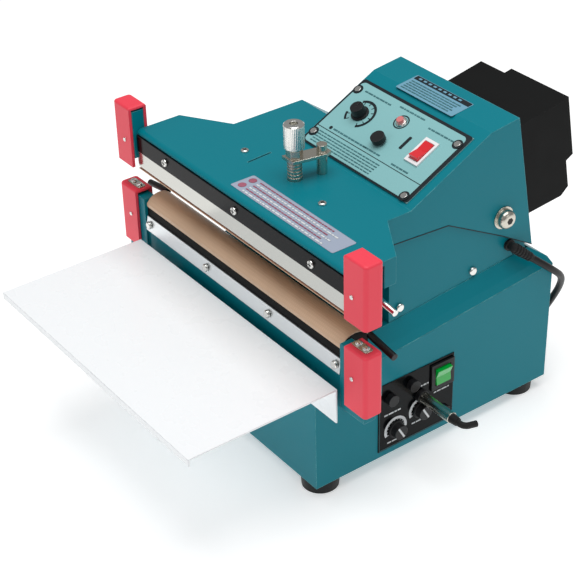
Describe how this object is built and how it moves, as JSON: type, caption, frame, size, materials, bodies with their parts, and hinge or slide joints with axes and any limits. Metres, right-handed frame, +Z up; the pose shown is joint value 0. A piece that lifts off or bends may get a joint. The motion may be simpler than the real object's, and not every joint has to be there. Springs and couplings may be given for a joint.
{
  "type": "table-top double-bar impulse sealer",
  "caption": "Teal table-top automatic impulse sealer with two long heated jaws, red end caps, white worktable, control panel on the arm and timer dials on the side.",
  "frame": {"origin": "on the floor under the middle of the machine without its lead", "axes": "X along the jaws, Y from the worktable to the rear, Z up"},
  "size_m": [0.392, 0.5565, 0.3232],
  "materials": {
    "teal_paint": "gloss enamel",
    "white_paint": "white powder coat",
    "black_paint": "gloss black",
    "red_plastic": "moulded red",
    "green_plastic": "translucent green",
    "black_plastic": "moulded black",
    "white_plastic": "white bezel",
    "rubber": "black rubber and PVC",
    "chrome": "bright plated",
    "aluminium": "satin anodised",
    "panel_label": "printed pale teal film",
    "ptfe_fabric": "brown PTFE coated glass cloth",
    "silicone": "soft silicone",
    "steel": "plain steel",
    "black_steel": "blackened thread",
    "bronze": "sintered bronze",
    "copper": "enamelled copper",
    "board": "fibre board"
  },
  "bodies": {
    "base": {"arm_bracket": "teal_paint", "base_screws": "chrome", "base_tray": "teal_paint", "bottom_plate": "teal_paint", "circuit_board": "board", "clamp_strip": "aluminium", "element_leads": "rubber", "foot_screws": "chrome", "heater_bar": "black_plastic", "heating_element": "steel", "lower_cap_left": "red_plastic", "lower_cap_right": "red_plastic", "lower_cap_screws": "chrome", "lower_jaw_beam": "teal_paint", "lower_ptfe_cover": "ptfe_fabric", "mains_switch_housing": "black_plastic", "pivot_bushes": "bronze", "plug_blades": "chrome", "power_cord_coil": "rubber", "power_cord_run": "rubber", "power_plug": "rubber", "rubber_feet": "rubber", "side_fittings": "black_plastic", "side_panel": "black_paint", "solenoid_coil": "black_plastic", "solenoid_frame": "steel", "strain_relief": "rubber", "top_cover": "teal_paint", "transformer_core": "steel", "transformer_windings": "copper", "worktable": "white_paint"},
    "arm": {"arm_cover": "teal_paint", "pivot_shaft": "chrome", "pivot_nuts": "chrome", "upper_jaw_beam": "teal_paint", "face_bar": "black_paint", "arm_screws": "chrome", "upper_rail": "aluminium", "silicone_pad": "silicone", "upper_ptfe_cover": "ptfe_fabric", "upper_cap_right": "red_plastic", "upper_cap_left": "red_plastic", "small_arm_screws": "chrome", "tension_pins": "chrome", "pull_rod": "black_steel", "knob_bridge": "chrome", "control_panel": "panel_label", "indicator_lamp": "chrome", "rocker_bezel": "white_plastic", "rear_housing": "black_paint"},
    "plunger": {"solenoid_plunger": "steel", "return_spring": "steel"},
    "pressure_knob": {"pressure_knob": "chrome"},
    "recycle_timer_knob": {"recycle_timer_knob": "black_plastic"},
    "cycle_button": {"cycle_button": "black_plastic"},
    "red_rocker": {"red_rocker": "red_plastic"},
    "green_rocker": {"green_rocker": "green_plastic"},
    "timer_dial_front": {"timer_dial_front": "black_plastic"},
    "timer_dial_rear": {"timer_dial_rear": "black_plastic"},
    "jack_plug": {"jack_plug": "chrome"}
  },
  "joints": [
    {"name": "arm_hinge", "type": "hinge", "parent": "base", "child": "arm", "pos_m": [0, 0.14811, 0.218], "axis": [1, 0, 0], "range_deg": [0, 6.5], "stiffness_Nm_per_rad": 60, "springref_deg": -14.32},
    {"name": "plunger_slide", "type": "slide", "parent": "base", "child": "plunger", "axis": [0, 0, -1], "range_m": [0, 0.0182], "deforming": ["return_spring"]},
    {"name": "pressure_knob_turn", "type": "hinge", "parent": "arm", "child": "pressure_knob", "pos_m": [0.006, -0.00989, 0.31], "axis": [0, 0, 1], "continuous": true},
    {"name": "recycle_timer_turn", "type": "hinge", "parent": "arm", "child": "recycle_timer_knob", "pos_m": [-0.016, 0.08511, 0.2915], "axis": [0, -0.4472, 0.8944], "range_deg": [-140, 140]},
    {"name": "cycle_button_press", "type": "slide", "parent": "arm", "child": "cycle_button", "axis": [0, 0.4472, -0.8944], "range_m": [0, 0.003], "stiffness_N_per_m": 300, "springref_m": -0.002},
    {"name": "red_rocker_tilt", "type": "hinge", "parent": "arm", "child": "red_rocker", "pos_m": [0.0765, 0.0819, 0.29168], "axis": [1, 0, 0], "range_deg": [0, 14]},
    {"name": "green_rocker_tilt", "type": "hinge", "parent": "base", "child": "green_rocker", "pos_m": [0.1287, 0.06861, 0.08], "axis": [0, -1, 0], "range_deg": [0, 14]},
    {"name": "timer_dial_front_turn", "type": "hinge", "parent": "base", "child": "timer_dial_front", "pos_m": [0.134, 0.01211, 0.041], "axis": [1, 0, 0], "range_deg": [-140, 140]},
    {"name": "timer_dial_rear_turn", "type": "hinge", "parent": "base", "child": "timer_dial_rear", "pos_m": [0.134, 0.04211, 0.05], "axis": [1, 0, 0], "range_deg": [-140, 140]},
    {"name": "jack_plug_pull", "type": "slide", "parent": "base", "child": "jack_plug", "axis": [1, 0, 0], "range_m": [0, 0.03]}
  ],
  "couplings": [
    {"joint": "plunger_slide", "follows": "arm_hinge", "m_per_rad": 0.158}
  ]
}
